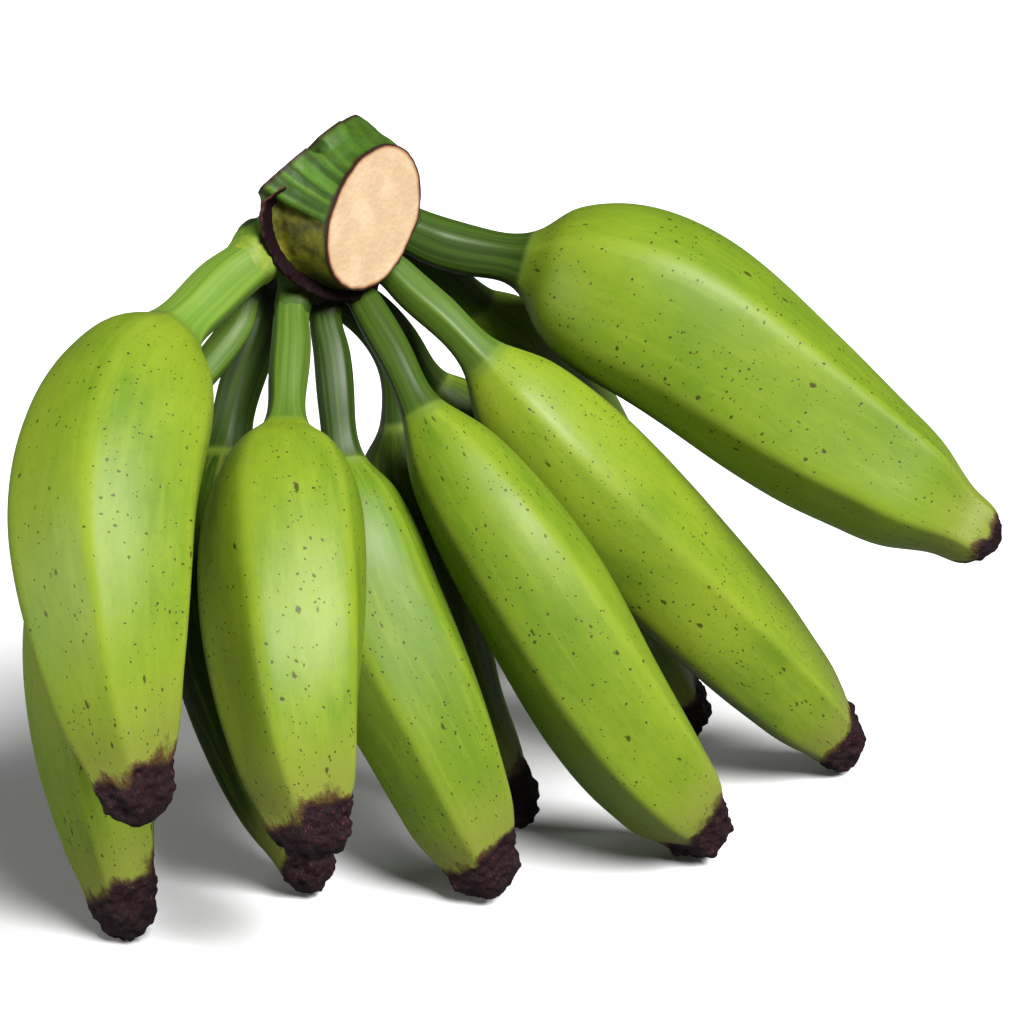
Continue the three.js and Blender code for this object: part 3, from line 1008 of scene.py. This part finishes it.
# painted shade under the stalk and among the necks
colour = mix(tree, maths(tree, "MULTIPLY", under, 0.9), colour, linear(22, 32, 8))
colour = mix(tree, maths(tree, "MULTIPLY", noted(tree, "first_neck"), 0.8), colour,
             mix(tree, step(tree, blotch, 0.35, 0.65), linear(82, 112, 32), linear(116, 130, 40)))
colour = mix(tree, maths(tree, "MULTIPLY", step(tree, fibres, 0.5, 0.75), 0.25), colour,
             linear(26, 36, 9))
dried = step(tree, maths(tree, "ADD", to_rim, maths(tree, "MULTIPLY", blotch, 0.0012)),
             0.0024, 0.0008)
colour = mix(tree, dried, colour, linear(39, 21, 14))
wire(tree, shader.inputs["Base Color"], colour)
wire(tree, shader.inputs["Roughness"],
     maths(tree, "ADD", 0.42, maths(tree, "MULTIPLY", blotch, 0.25)))
bump = add(tree, "Bump", {"Height": maths(tree, "MULTIPLY", fibres, 0.00012), "Strength": 1.0,
                          "Distance": 1.0})
wire(tree, shader.inputs["Normal"], bump.outputs[0])
stalk.data.materials.append(stem_skin)
print("stem skin nodes:", len(tree.nodes))

# %% Material: cut flesh
cut_flesh, tree, shader = new_material("cut_flesh", IOR=1.4)
place = add(tree, "TexCoord", {}).outputs["Object"]
from_rim = noted(tree, "from_rim")
soft = fractal(tree, place, 110.0, 3.0, 0.5)
fine = fractal(tree, place, 900.0, 2.0, 0.6)
pores = add(tree, "TexVoronoi", {"Vector": place, "Scale": 620.0}).outputs["Distance"]
colour = mix(tree, step(tree, soft, 0.35, 0.7), linear(180, 152, 121), linear(192, 167, 135))
colour = mix(tree, maths(tree, "MULTIPLY", step(tree, pores, 0.32, 0.1), 0.18), colour,
             linear(178, 138, 102))
colour = mix(tree, maths(tree, "MULTIPLY", step(tree, fine, 0.5, 0.8), 0.2), colour,
             linear(204, 186, 158))
ragged = maths(tree, "ADD", from_rim, maths(tree, "MULTIPLY", maths(tree, "SUBTRACT", soft, 0.5),
                                            0.0012))
colour = mix(tree, step(tree, ragged, 0.0018, 0.0006), colour, linear(148, 102, 71))
colour = mix(tree, step(tree, ragged, 0.0009, 0.0003), colour, linear(40, 20, 13))
wire(tree, shader.inputs["Base Color"], colour)
wire(tree, shader.inputs["Roughness"],
     maths(tree, "ADD", 0.5, maths(tree, "MULTIPLY", fine, 0.2)))
bump = add(tree, "Bump", {"Height": maths(tree, "MULTIPLY",
                                          maths(tree, "ADD", fine, pores), 0.00008),
                          "Strength": 1.0, "Distance": 1.0})
wire(tree, shader.inputs["Normal"], bump.outputs[0])
stalk.data.materials.append(cut_flesh)
print("cut flesh nodes:", len(tree.nodes))

# %% Material: bract lip
lip_bark, tree, shader = new_material("lip_bark", IOR=1.2)
place = add(tree, "TexCoord", {}).outputs["Object"]
dust = fractal(tree, place, 420.0, 4.0, 0.65)
# the outer edge is paler, the dry cuticle's colour with a painted highlight; the lower part is near
# black with painted shade
outer = step(tree, maths(tree, "ADD", noted(tree, "edge"),
                         maths(tree, "MULTIPLY", maths(tree, "SUBTRACT", dust, 0.5), 1.2)),
             0.45, 1.1)
colour = mix(tree, outer, linear(16, 2, 4), linear(76, 44, 38))
wire(tree, shader.inputs["Base Color"], colour)
wire(tree, shader.inputs["Roughness"],
     maths(tree, "ADD", 0.55, maths(tree, "MULTIPLY", dust, 0.25)))
bump = add(tree, "Bump", {"Height": maths(tree, "MULTIPLY", dust, 0.0004), "Strength": 1.0,
                          "Distance": 1.0})
wire(tree, shader.inputs["Normal"], bump.outputs[0])
lip.data.materials.append(lip_bark)
print("lip nodes:", len(tree.nodes))

# %% [markdown]
# ## Floor and light
# The hand stands on a wide pale floor under soft studio light. Two suns with wide discs are as
# soft as large lamps: the stronger one stands high on the right and the weaker one low on
# the left. A dim plain surrounding fills the shadows a little. The floor looks pale to the
# camera, but throws little light back up, so the gaps between the fruits stay deep and dark.

# %% Floor, world and lamps
floor_size = 6.0
floor = new_piece("floor", [(-floor_size, -floor_size, 0), (floor_size, -floor_size, 0),
                            (floor_size, floor_size, 0), (-floor_size, floor_size, 0)],
                  [(0, 1, 2, 3)])
floor_paint, tree, shader = new_material("floor_paint", Roughness=0.8)
seen = add(tree, "LightPath", {}).outputs["Is Camera Ray"]
DARK_GREY, PALE_GREY = (0.15, 0.15, 0.15, 1), (0.74, 0.74, 0.74, 1)
wire(tree, shader.inputs["Base Color"], mix(tree, seen, DARK_GREY, PALE_GREY))
floor.data.materials.append(floor_paint)

world = bpy.data.worlds.new("studio")
world.use_nodes = True
world.node_tree.nodes["Background"].inputs["Color"].default_value = (1, 1, 1, 1)
world.node_tree.nodes["Background"].inputs["Strength"].default_value = 0.08
bpy.context.scene.world = world


def soft_sun(name, towards, strength, width):
    """A sun that shines from the given direction, with a disc this many degrees wide."""
    lamp = bpy.data.lights.new(name, "SUN")
    lamp.energy, lamp.angle = strength, math.radians(width)
    holder = bpy.data.objects.new(name, lamp)
    holder.location = Vector(towards) * 2
    holder.rotation_euler = Vector(towards).to_track_quat("Z", "Y").to_euler()
    bpy.context.scene.collection.objects.link(holder)
    return holder


soft_sun("key", (0.42, -0.56, 0.72), 8.6, 30)
soft_sun("left", (-0.92, -0.35, 0.22), 2.0, 30)
bpy.context.scene.view_settings.view_transform = "Standard"
